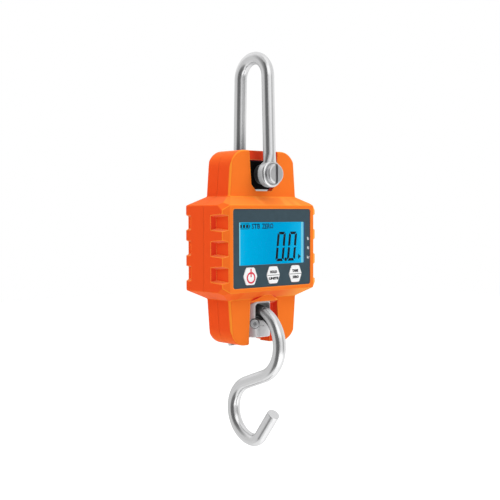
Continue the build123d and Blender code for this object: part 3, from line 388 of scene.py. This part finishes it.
# ---- Load cell ----
# An aluminium block with two thin beams, milled bright and held by two black screws.
# Four foil gauges are glued over the beams, with a thin wire from each to the board.
cell_aluminium = finish("cell_aluminium", (0.74, 0.745, 0.75), 0.34, metallic=1)
vary(cell_aluminium, grain(cell_aluminium, 0.002, (1, 1, 6)), 0.26, 0.42)
relief(cell_aluminium, grain(cell_aluminium, 0.0006, (1, 1, 5)), 0.000008, 0.0003)
dress(cell_aluminium, "load_cell")
dress(black_steel, "load_cell_screws")
gauge_foil = finish("gauge_foil", (0.55, 0.27, 0.05), 0.4)
tint(gauge_foil, grain(gauge_foil, 0.0008, (6, 1, 1)), (0.45, 0.2, 0.03), (0.62, 0.33, 0.08))
dress(gauge_foil, "strain_gauges")
red_wire = finish("red_wire", (0.5, 0.02, 0.015), 0.4)
relief(red_wire, grain(red_wire, 0.0008), 0.00001)
dress(red_wire, "gauge_wires")


# ---- Lower lug and its saddle ----
# A round-cornered square bar of nickel-plated steel below the load cell, with a window
# for the hook.  A hard saddle in the window is held by four radial socket screws, each
# on a washer coloured dark as painted shade around the screw head.
bright_steel = finish("bright_steel", (0.72, 0.72, 0.725), 0.42, metallic=0.5)
vary(bright_steel, grain(bright_steel, 0.004, (1, 1, 3), 1), 0.36, 0.48)
relief(bright_steel, grain(bright_steel, 0.001, (2, 2, 0.6), 1), 0.000003, 0.0003)
shade_nooks(bright_steel, 0.0016, (0.12, 0.12, 0.125), (0.72, 0.72, 0.725))
dress(bright_steel, "lower_lug", "hook_saddle")
dress(black_steel, "lower_lug_screws")
dress(zinc_steel, "saddle_screws")
# The washers' dark colour is painted shade around each screw head.
ring_shade_washer = finish("ring_shade_washer", (0.13, 0.13, 0.135), 0.4, metallic=1)
vary(ring_shade_washer, grain(ring_shade_washer, 0.001), 0.34, 0.5)
relief(ring_shade_washer, grain(ring_shade_washer, 0.0005), 0.000004, 0.00015)
dress(ring_shade_washer, "saddle_washers")


# ---- Case ----
# Front and rear halves moulded in bright orange plastic with a fine, slightly glossy
# grain, a soft black seal between them, and four long screws from the back.  Light and
# shade are painted into its colour: tones by the way each face turns, painted shade in the
# notches and nooks, painted highlights on edges and bevels, painted sheen on the slopes
# and a painted red glow in the nooks.
orange_plastic = finish("orange_plastic", (0.89, 0.19, 0.008), 0.34, shine=0.01)
orange_tree = orange_plastic.node_tree
# Painted light and shade: tones of the one orange for faces that turn to the front, the sides, up and down,
# with painted shade for nooks, painted highlights for rims and bevels, painted sheen for slopes and a painted
# red glow.
front_lit_orange = (0.90, 0.190, 0.024)
side_shaded_orange = (0.87, 0.086, 0.015)
upper_slope_lit_orange = (0.95, 0.235, 0.036)
slope_end_shaded_orange = (0.83, 0.122, 0.020)
lower_slope_shaded_orange = (0.95, 0.130, 0.020)
nook_shade_orange = (0.72, 0.040, 0.016)
rim_highlight_orange = (1.0, 0.35, 0.05)
bevel_highlight_orange = (1.0, 0.36, 0.035)
slope_sheen_orange = (1.0, 0.40, 0.07)
nook_glow_red = (0.13, 0.004, 0.004)
orange_place = orange_tree.nodes.new("ShaderNodeTexCoord").outputs
facing_node = orange_tree.nodes.new("ShaderNodeSeparateXYZ")
orange_tree.links.new(orange_place["Normal"], facing_node.inputs[0])
facing = facing_node.outputs
depth_node = orange_tree.nodes.new("ShaderNodeSeparateXYZ")
orange_tree.links.new(orange_place["Object"], depth_node.inputs[0])
place_on_case = depth_node.outputs


def orange_mix(share, first, second):
    """Mixes two shades of the case by share."""
    return blend(orange_tree, share, first, second)


def orange_sum(operation, first, second):
    """A sum over the surface of the case."""
    return reckon(orange_tree, operation, first, second)


def orange_step(value, start, end):
    """Rises softly from 0 to 1 as value goes from start to end."""
    return spread(orange_tree, value, start, end, smooth=True)


sideways = orange_sum("MULTIPLY", facing["X"], facing["X"])
upright = orange_sum("MULTIPLY", facing["Z"], facing["Z"])
forward = orange_sum("MULTIPLY", facing["Y"], facing["Y"])
facing_up = orange_step(facing["Z"], -0.05, 0.05)

# The slopes above and beneath the block get their own painted light, and their ends a deeper painted shade.
end_gain = 4.8
upper_slope_painted_light = orange_mix(orange_sum("MULTIPLY", sideways, end_gain), upper_slope_lit_orange, slope_end_shaded_orange)
slope_painted_light = orange_mix(facing_up, lower_slope_shaded_orange, upper_slope_painted_light)

# Patches of painted sheen lie across the slopes in front and behind, strongest above;
# beneath, the +X end has painted light all over.
sheen_size = 0.011
sheen_beneath, sheen_above = 0.22, 0.8
sheen_patches = orange_step(grain(orange_plastic, sheen_size, (1, 0.25, 0.25), 1), 0.47, 0.6)
sheen_share = orange_sum("MULTIPLY", sheen_patches, orange_step(forward, 0.1, 0.4))
sheen_share = orange_sum("MULTIPLY", sheen_share, orange_mix(facing_up, (sheen_beneath,) * 3, (sheen_above,) * 3))
far_end_light = orange_sum("MULTIPLY", orange_step(place_on_case["X"], 0.004, 0.030),
                     orange_step(facing["Z"], 0.05, -0.05))
slope_painted_light = orange_mix(orange_sum("MAXIMUM", sheen_share, far_end_light), slope_painted_light, slope_sheen_orange)
open_painted_light = orange_mix(upright, orange_mix(sideways, front_lit_orange, side_shaded_orange), slope_painted_light)

# Painted highlights on the bevels between front and side, which face halfway, and on
# the facets that turn to +X.
bevel_highlight_strength = 0.8
halfway = orange_sum("MULTIPLY", orange_sum("MULTIPLY", forward, orange_sum("SUBTRACT", 1.0, forward)), 4.0)
bevel_highlight_share = orange_sum("MULTIPLY", orange_step(halfway, 0.86, 1.0), bevel_highlight_strength)
open_painted_light = orange_mix(bevel_highlight_share, open_painted_light, bevel_highlight_orange)
lit_facet = orange_sum("MULTIPLY", orange_step(facing["X"], 0.3, 0.5), orange_step(facing["Y"], -0.3, -0.6))
open_painted_light = orange_mix(lit_facet, open_painted_light, bevel_highlight_orange)

# Painted shade: the recessed faces beside the lugs, and every nook, are painted a deeper
# red; but the thin joint between the halves is not drawn much deeper by it.
nook_reach = 0.007
recess_shade_strength, recess_half = 0.85, (0.0088, 0.0075)
joint_plane, joint_half, joint_strength = 0.0026, (0.0008, 0.0016), 0.35
nook = orange_tree.nodes.new("ShaderNodeAmbientOcclusion")
nook.samples = fine_samples
nook.inputs["Distance"].default_value = nook_reach
open_share = orange_step(nook.outputs["AO"], 0.2, 0.72)
from_middle_plane = orange_sum("ABSOLUTE", place_on_case["Y"], 0.0)
recess_shade = orange_sum("MULTIPLY", orange_sum("MULTIPLY", forward, recess_shade_strength),
                      orange_step(from_middle_plane, *recess_half))
from_joint = orange_sum("ABSOLUTE", orange_sum("SUBTRACT", place_on_case["Y"], joint_plane), 0.0)
off_joint = orange_step(from_joint, *joint_half)
painted_shade_share = orange_sum("MAXIMUM", recess_shade, orange_sum("SUBTRACT", 1.0, open_share))
painted_shade_share = orange_sum("MULTIPLY", painted_shade_share, orange_sum("MAXIMUM", off_joint, joint_strength))
body_painted_light = orange_mix(painted_shade_share, open_painted_light, nook_shade_orange)

# Painted highlights: thin light rims along the sharp outer edges.
rim_reach = 0.0008
rim_bevel = orange_tree.nodes.new("ShaderNodeBevel")
rim_bevel.samples = fine_samples
rim_bevel.inputs["Radius"].default_value = rim_reach
rim_turn = orange_tree.nodes.new("ShaderNodeVectorMath")
rim_turn.operation = "DOT_PRODUCT"
orange_tree.links.new(rim_bevel.outputs["Normal"], rim_turn.inputs[0])
orange_tree.links.new(orange_tree.nodes.new("ShaderNodeNewGeometry").outputs["Normal"], rim_turn.inputs[1])
rim_highlight_share = orange_sum("MULTIPLY", orange_step(rim_turn.outputs["Value"], 0.995, 0.93), open_share)
rim_highlight_share = orange_sum("MULTIPLY", rim_highlight_share, off_joint)
orange_tree.links.new(orange_mix(rim_highlight_share, body_painted_light, rim_highlight_orange),
                      shader_of(orange_plastic).inputs["Base Color"])

# A painted glow: the nooks give off a little red light of their own.
orange_tree.links.new(orange_mix(painted_shade_share, (0.0, 0.0, 0.0), nook_glow_red),
                      shader_of(orange_plastic).inputs["Emission Color"])
shader_of(orange_plastic).inputs["Emission Strength"].default_value = 1.0
shader_of(orange_plastic).inputs["Specular Tint"].default_value = (1.0, 0.62, 0.25, 1)
vary(orange_plastic, grain(orange_plastic, 0.0016), 0.28, 0.4)
relief(orange_plastic, grain(orange_plastic, 0.00035), 0.000006, 0.0005)
dress(orange_plastic, "front_shell", "rear_shell")

seal_rubber = finish("seal_rubber", (0.02, 0.018, 0.017), 0.7, shine=0.3)
relief(seal_rubber, grain(seal_rubber, 0.0005), 0.00002)
dress(seal_rubber, "case_seal")
screw_steel = finish("screw_steel", (0.42, 0.42, 0.43), 0.32, metallic=1)
vary(screw_steel, grain(screw_steel, 0.001), 0.26, 0.42)
relief(screw_steel, grain(screw_steel, 0.0004), 0.000008, 0.00015)
dress(screw_steel, "case_screws")


# ---- Display ----
# A clear window over a liquid crystal glass, lit from behind by a light guide that
# makes it an even blue, a little paler towards both ends.  Two soft black strips carry
# its contacts to the board.
body = "housing"
glass_low, glass_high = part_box("lcd_glass")
lcd_blue = finish("lcd_blue", (0.0, 0.02, 0.04), 0.3, shine=0.0)
lcd_tree = lcd_blue.node_tree
lcd_parts = lcd_tree.nodes.new("ShaderNodeSeparateXYZ")
lcd_tree.links.new(lcd_tree.nodes.new("ShaderNodeTexCoord").outputs["Object"], lcd_parts.inputs[0])
lcd_across = spread(lcd_tree, lcd_parts.outputs["X"], glass_low.x, glass_high.x)
lcd_shade = shade_stops(lcd_tree, lcd_across, [(0.0, (0.01, 0.46, 0.79)), (0.12, (0.0, 0.41, 0.735)),
                                               (0.5, (0.0, 0.335, 0.645)), (0.75, (0.0, 0.37, 0.69)),
                                               (1.0, (0.01, 0.46, 0.80))])
lcd_tree.links.new(lcd_shade, shader_of(lcd_blue).inputs["Emission Color"])
shader_of(lcd_blue).inputs["Emission Strength"].default_value = 0.97
vary(lcd_blue, grain(lcd_blue, 0.002), 0.25, 0.35)
dress(lcd_blue, "lcd_glass")
dress(seal_rubber, "lcd_connectors")

clear_lens = finish("clear_lens", (1.0, 1.0, 1.0), 0.03)
shader_of(clear_lens).inputs["Transmission Weight"].default_value = 1.0
shader_of(clear_lens).inputs["IOR"].default_value = 1.06
vary(clear_lens, grain(clear_lens, 0.003), 0.0, 0.02)
dress(clear_lens, "display_lens")
light_guide = finish("light_guide", (0.8, 0.85, 0.9), 0.3)
relief(light_guide, grain(light_guide, 0.0006), 0.00001)
dress(light_guide, "backlight")


# ---- Figures on the display ----
# Dark segments that the glass shows: a slanted 0.0 with its mark for the unit, a
# battery sign and two status words.  Each is a very thin plate on the glass.
figure_ink = finish("figure_ink", (0.004, 0.008, 0.011), 0.5, shine=0.1)
tint(figure_ink, grain(figure_ink, 0.001), (0.003, 0.006, 0.008), (0.006, 0.011, 0.015))
faint_ink = finish("faint_ink", (0.003, 0.05, 0.12), 0.5, shine=0.1)
tint(faint_ink, grain(faint_ink, 0.001), (0.002, 0.042, 0.10), (0.004, 0.058, 0.135))
figure_thickness, figure_lift = 0.00004, 0.00002
figure_front = glass_low.y - figure_lift - figure_thickness
case_low, case_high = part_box("front_shell")
centre_z = (case_low.z + case_high.z) / 2


def thin_plate(name, shapes, front, thickness, material, rides_on):
    """Flat shapes, given as lists of (x, z) corners in millimetres from the case's middle."""
    form = bmesh.new()
    for corners in shapes:
        back = [form.verts.new((x / 1000, front + thickness, centre_z + z / 1000)) for x, z in corners]
        face = [form.verts.new((x / 1000, front, centre_z + z / 1000)) for x, z in corners]
        form.faces.new(face)
        form.faces.new(list(reversed(back)))
        for i in range(len(corners)):
            j = (i + 1) % len(corners)
            form.faces.new((face[j], face[i], back[i], back[j]))
    bmesh.ops.recalc_face_normals(form, faces=form.faces)
    mesh = bpy.data.meshes.new(name)
    form.to_mesh(mesh)
    form.free()
    mesh.materials.append(material)
    piece = place(name, mesh)
    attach(piece, rides_on)


def bar(x0, z0, x1, z1):
    """The corners of an upright rectangle."""
    return [(x0, z0), (x1, z0), (x1, z1), (x0, z1)]


slant = 0.115
digit_width, digit_height, stroke, flat_stroke = 7.5, 19.4, 2.0, 1.75
digit_low, digit_split = -9.1, 0.4
digit_gap, digit_notch = 0.3, 0.5
first_nought, second_nought = 3.6, 14.1


def leaned(x, z, left):
    """A point of a digit: x from its lower left corner, leaned over with its height."""
    return (left + x + slant * (z - digit_low), z)


def nought_segments(left):
    """The six dark segments of a nought, with pointed ends and small gaps."""
    top, low, mid, w = digit_low + digit_height, digit_low, digit_split, digit_width
    s, f, g, n = stroke, flat_stroke, digit_gap, digit_notch
    segments = [
        [(g + n, top), (w - g - n, top), (w - s - g + n, top - f), (s + g - n, top - f)],
        [(s + g - n, low + f), (w - s - g + n, low + f), (w - g - n, low), (g + n, low)],
        [(0, top - g - n), (s, top - f - g), (s, mid + g + n), (0, mid + g)],
        [(w, top - g - n), (w, mid + g), (w - s, mid + g + n), (w - s, top - f - g)],
        [(0, mid - g), (s, mid - g - n), (s, low + f + g), (0, low + g + n)],
        [(w, mid - g), (w, low + g + n), (w - s, low + f + g), (w - s, mid - g - n)],
    ]
    return [[leaned(x, z, left) for x, z in segment] for segment in segments]


def glass_sign(name, shapes, ink):
    """Flat dark shapes on the glass."""
    thin_plate(name, shapes, figure_front, figure_thickness, ink, body)


point_x, point_z, point_half_width, point_half_height = 13.05, -8.0, 1.15, 1.2
point_turns = [math.tau * i / 20 for i in range(20)]
point = [(point_x + point_half_width * math.cos(turn), point_z + point_half_height * math.sin(turn))
         for turn in point_turns]
unit_mark = [(24.7, -4.7), (27.2, -6.5), (24.7, -8.3)]
both_noughts = nought_segments(first_nought) + nought_segments(second_nought)
glass_sign("figure_noughts", both_noughts + [point, unit_mark], figure_ink)

block_width, block_low, block_high = 1.75, 13.2, 15.2
glass_sign("figure_battery_blocks", [bar(x, block_low, x + block_width, block_high)
                                     for x in (-27.3, -24.65, -22.0)], figure_ink)


def outline(x0, z0, x1, z1, line):
    """The four bars of a rectangular outline, line wide."""
    return [bar(x0, z0, x1, z0 + line), bar(x0, z1 - line, x1, z1),
            bar(x0, z0 + line, x0 + line, z1 - line), bar(x1 - line, z0 + line, x1, z1 - line)]


battery_line = 0.42
glass_sign("figure_battery_case",
           outline(-28.0, 12.4, -19.4, 16.0, battery_line) + [bar(-19.3, 13.4, -18.6, 15.0)], faint_ink)


def words(name, text, box, front, thickness, material, rides_on, weight):
    """Lettering fitted into a box (x0, z0, x1, z1) in millimetres from the case's middle."""
    x0, z0, x1, z1 = box
    curve = bpy.data.curves.new(name, "FONT")
    curve.body = text
    curve.size = 1.0
    curve.offset = weight
    curve.extrude = 0.0
    curve.resolution_u = 3
    carrier = place(name + "_curve", curve)
    flat = bpy.data.meshes.new_from_object(carrier.evaluated_get(bpy.context.evaluated_depsgraph_get()))
    bpy.data.objects.remove(carrier)
    form = bmesh.new()
    form.from_mesh(flat)
    low_x, high_x = min(v.co.x for v in form.verts), max(v.co.x for v in form.verts)
    low_y, high_y = min(v.co.y for v in form.verts), max(v.co.y for v in form.verts)
    for v in form.verts:
        across = (v.co.x - low_x) / (high_x - low_x)
        up = (v.co.y - low_y) / (high_y - low_y)
        v.co = Vector(((x0 + (x1 - x0) * across) / 1000, front + thickness,
                       centre_z + (z0 + (z1 - z0) * up) / 1000))
    raised = bmesh.ops.extrude_face_region(form, geom=form.faces[:])
    for v in [g for g in raised["geom"] if isinstance(g, bmesh.types.BMVert)]:
        v.co.y = front
    bmesh.ops.recalc_face_normals(form, faces=form.faces)
    form.to_mesh(flat)
    form.free()
    flat.name = name
    flat.materials.clear()
    flat.materials.append(material)
    piece = place(name, flat)
    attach(piece, rides_on)


status_weight = 0.03
for name, text, box in (("figure_stb", "STB", (-17.2, 12.5, -9.9, 15.9)),
                        ("figure_zero", "ZERO", (-8.3, 12.5, 1.9, 15.9))):
    words(name, text, box, figure_front, figure_thickness, faint_ink, body, status_weight)


# ---- Edges of the window ----
# Painted light at the clear window's cut edges: the right-hand one has a pale painted
# glow on the glass and a dark painted shadow along the face sheet; the left-hand one is
# only a thin line of painted glow.
def lit_edge(name, colour, glow, strength):
    """A blue finish that gives off a little light."""
    material = finish(name, colour, 0.4, shine=0.2)
    shader_of(material).inputs["Emission Color"].default_value = (*glow, 1)
    shader_of(material).inputs["Emission Strength"].default_value = strength
    vary(material, grain(material, 0.002), 0.3, 0.5)
    return material


edge_glow = lit_edge("edge_glow", (0.05, 0.1, 0.12), (0.17, 0.59, 0.75), 0.9)
# A dark blue painted shadow, with a faint glow, beside the window's right-hand edge.
edge_shadow_blue = lit_edge("edge_shadow_blue", (0.002, 0.03, 0.07), (0.0, 0.07, 0.26), 0.8)
panel_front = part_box("display_panel")[0].y
print_thickness = 0.00003
print_front = panel_front - print_thickness
window_side, window_foot, window_top = 28.35, -10.65, 16.75
edge_gap = 0.01
pale_width, wall_width, right_shadow, left_rim = 0.8, 0.06, 0.85, 0.8


def window_strip(name, left, right, front, thickness, material):
    """An upright strip as high as the window, from left to right in millimetres."""
    thin_plate(name, [bar(left, window_foot, right, window_top)], front, thickness, material, body)


window_strip("display_edge_glow", window_side - pale_width, window_side - edge_gap, figure_front,
             figure_thickness, edge_glow)
window_strip("display_side_glow", window_side - wall_width, window_side - edge_gap,
             panel_front + print_thickness, figure_front - panel_front - 2 * print_thickness, edge_glow)
window_strip("display_right_shadow", window_side - edge_gap, window_side + right_shadow, print_front,
             print_thickness, edge_shadow_blue)
window_strip("display_left_rim", -window_side - left_rim, -window_side + edge_gap, print_front,
             print_thickness, edge_glow)


# ---- Face sheet ----
# A thin dark blue-grey film, printed on its back and stuck in the recess of the front
# half.  The three unit signs beside the window are printed white.
slate_panel = finish("slate_panel", (0.036, 0.066, 0.084), 0.36, shine=0.22)
tint(slate_panel, grain(slate_panel, 0.004), (0.034, 0.062, 0.079), (0.039, 0.070, 0.089))
vary(slate_panel, grain(slate_panel, 0.001), 0.32, 0.42)
relief(slate_panel, grain(slate_panel, 0.0004), 0.000004, 0.0002)
dress(slate_panel, "display_panel")
white_print = finish("white_print", (0.8, 0.82, 0.83), 0.45, shine=0.2)
tint(white_print, grain(white_print, 0.0008), (0.74, 0.76, 0.77), (0.84, 0.86, 0.87))
sign_weight = 0.02
for name, text, box in (("sign_lb", "lb", (31.8, 4.4, 33.5, 6.5)),
                        ("sign_n", "N", (31.9, -2.0, 33.5, 0.2)),
                        ("sign_kg", "kg", (31.7, -8.6, 34.0, -6.2))):
    words(name, text, box, print_front, print_thickness, white_print, body, sign_weight)


# ---- Keys ----
# Three white caps with a fine matt skin that stand a little out of the face sheet.
# Their signs are printed: a red power sign, and black words with a thin line between.
white_key = finish("white_key", (0.87, 0.875, 0.88), 0.42, shine=0.3)
tint(white_key, grain(white_key, 0.003), (0.86, 0.865, 0.87), (0.89, 0.895, 0.90))
relief(white_key, grain(white_key, 0.0003), 0.000006, 0.00025)
dress(white_key, "power_button", "hold_button", "tare_button")
key_print_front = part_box("power_button")[0].y - print_thickness
red_print = finish("red_print", (0.70, 0.03, 0.065), 0.45, shine=0.2)
tint(red_print, grain(red_print, 0.0008), (0.66, 0.026, 0.055), (0.74, 0.036, 0.075))
key_print = finish("key_print", (0.02, 0.02, 0.022), 0.5, shine=0.2)
tint(key_print, grain(key_print, 0.0008), (0.015, 0.015, 0.017), (0.03, 0.03, 0.032))
line_print = finish("line_print", (0.06, 0.06, 0.065), 0.5, shine=0.2)
tint(line_print, grain(line_print, 0.0008), (0.045, 0.045, 0.05), (0.075, 0.075, 0.08))

power_x, power_z, power_ring, power_line = -19.5, -18.8, 3.75, 1.1
power_bar_low, power_bar_high, half_bar = -18.3, -13.0, 0.5
ring_steps = 48


def ring_side(radius):
    """One side of the power sign's ring, open at the top where the bar stands."""
    start = math.pi / 2 + math.asin(half_bar / radius)
    sweep = 5 * math.pi / 2 - math.asin(half_bar / radius) - start
    angles = [start + sweep * i / ring_steps for i in range(ring_steps + 1)]
    return [(power_x + radius * math.cos(a), power_z + radius * math.sin(a)) for a in angles]


power_arc = ring_side(power_ring) + ring_side(power_ring - power_line)[::-1]
power_bar = bar(power_x - half_bar, power_bar_low, power_x + half_bar, power_bar_high)
thin_plate("power_sign", [power_arc, power_bar], key_print_front, print_thickness, red_print,
           "power_button")

key_weight = 0.08
half_line, line_low, line_high = 5.6, -18.06, -17.72
for key, top_word, top_box, low_word, low_box in (
        ("hold", "HOLD", (-2.8, -16.7, 3.4, -14.8), "UNITS", (-3.9, -20.9, 4.7, -19.1)),
        ("tare", "TARE", (17.4, -16.7, 22.9, -14.8), "ZERO", (17.5, -20.9, 23.5, -19.1))):
    for part, word, box in (("_upper_word", top_word, top_box), ("_lower_word", low_word, low_box)):
        words(key + part, word, box, key_print_front, print_thickness, key_print, key + "_button",
              key_weight)
    middle_x = (low_box[0] + low_box[2]) / 2
    thin_plate(key + "_line", [bar(middle_x - half_line, line_low, middle_x + half_line, line_high)],
               key_print_front, print_thickness, line_print, key + "_button")


# ---- Board and what is on it ----
# A green glass-fibre board behind the display, with three push switches, four chips,
# a round sounder and four small screws into the front half.
board_green = finish("board_green", (0.012, 0.12, 0.045), 0.35)
tint(board_green, grain(board_green, 0.002), (0.01, 0.1, 0.04), (0.016, 0.14, 0.055))
relief(board_green, grain(board_green, 0.0006), 0.00001)
dress(board_green, "circuit_board")
switch_black = finish("switch_black", (0.015, 0.015, 0.016), 0.5)
relief(switch_black, grain(switch_black, 0.0004), 0.00001)
dress(switch_black, "tact_switches", "board_chips", "buzzer")
dress(screw_steel, "board_screws")


# ---- Batteries ----
# Three AAA cells in plain dark wraps lie in a black tray, between nickel-plated contacts
# and with a spring behind each flat end.  A red and a black lead run to the board.
battery_wrap = finish("battery_wrap", (0.03, 0.05, 0.09), 0.3)
tint(battery_wrap, grain(battery_wrap, 0.004), (0.02, 0.035, 0.07), (0.04, 0.065, 0.11))
dress(battery_wrap, "batteries")
dress(black_nylon, "battery_tray")
contact_nickel = finish("contact_nickel", (0.66, 0.64, 0.6), 0.25, metallic=1)
vary(contact_nickel, grain(contact_nickel, 0.001), 0.2, 0.35)
dress(contact_nickel, "battery_contacts", "battery_springs")
dress(red_wire, "positive_lead")
black_wire = finish("black_wire", (0.012, 0.012, 0.013), 0.4)
relief(black_wire, grain(black_wire, 0.0008), 0.00001)
dress(black_wire, "negative_lead")


# ---- Battery door ----
# Moulded like the case, with a ribbed grip.  A raised arrow and word on its outer face
# show which way it slides; they reach a little way into the door.
dress(orange_plastic, "battery_door")
mark_height, mark_root = 0.00025, 0.00003
mark_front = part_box("battery_door")[1].y - mark_root
arrow_half, shaft_half, arrow_tip, arrow_neck, shaft_top = 3.4, 1.3, -3.4, 1.6, 5.4
door_arrow = [(-arrow_half, arrow_neck), (0.0, arrow_tip), (arrow_half, arrow_neck), (shaft_half, arrow_neck),
              (shaft_half, shaft_top), (-shaft_half, shaft_top), (-shaft_half, arrow_neck)]
thin_plate("door_arrow", [door_arrow], mark_front, mark_height + mark_root, orange_plastic, "battery_door")
# Its box runs from right to left, so that the word reads from behind.
words("door_word", "OPEN", (6.6, 8.2, -6.6, 12.0), mark_front, mark_height + mark_root, orange_plastic,
      "battery_door", sign_weight)


# ---- S-hook ----
# A stainless bar bent into an open S, polished like the shackle, that hangs on the
# saddle by its round upper loop.  Its ends are cut square and broken by a small radius.
dress(polished_steel, "s_hook")


# ---- Finished scale ----
# Only the bright metal pieces show in one another; the plastic ones are too matt to.
bright_pieces = ("shackle", "shackle_bolt", "shackle_nut", "lower_lug", "s_hook")
for name in nodes.keys():
    if name not in bright_pieces:
        nodes[name].visible_glossy = False
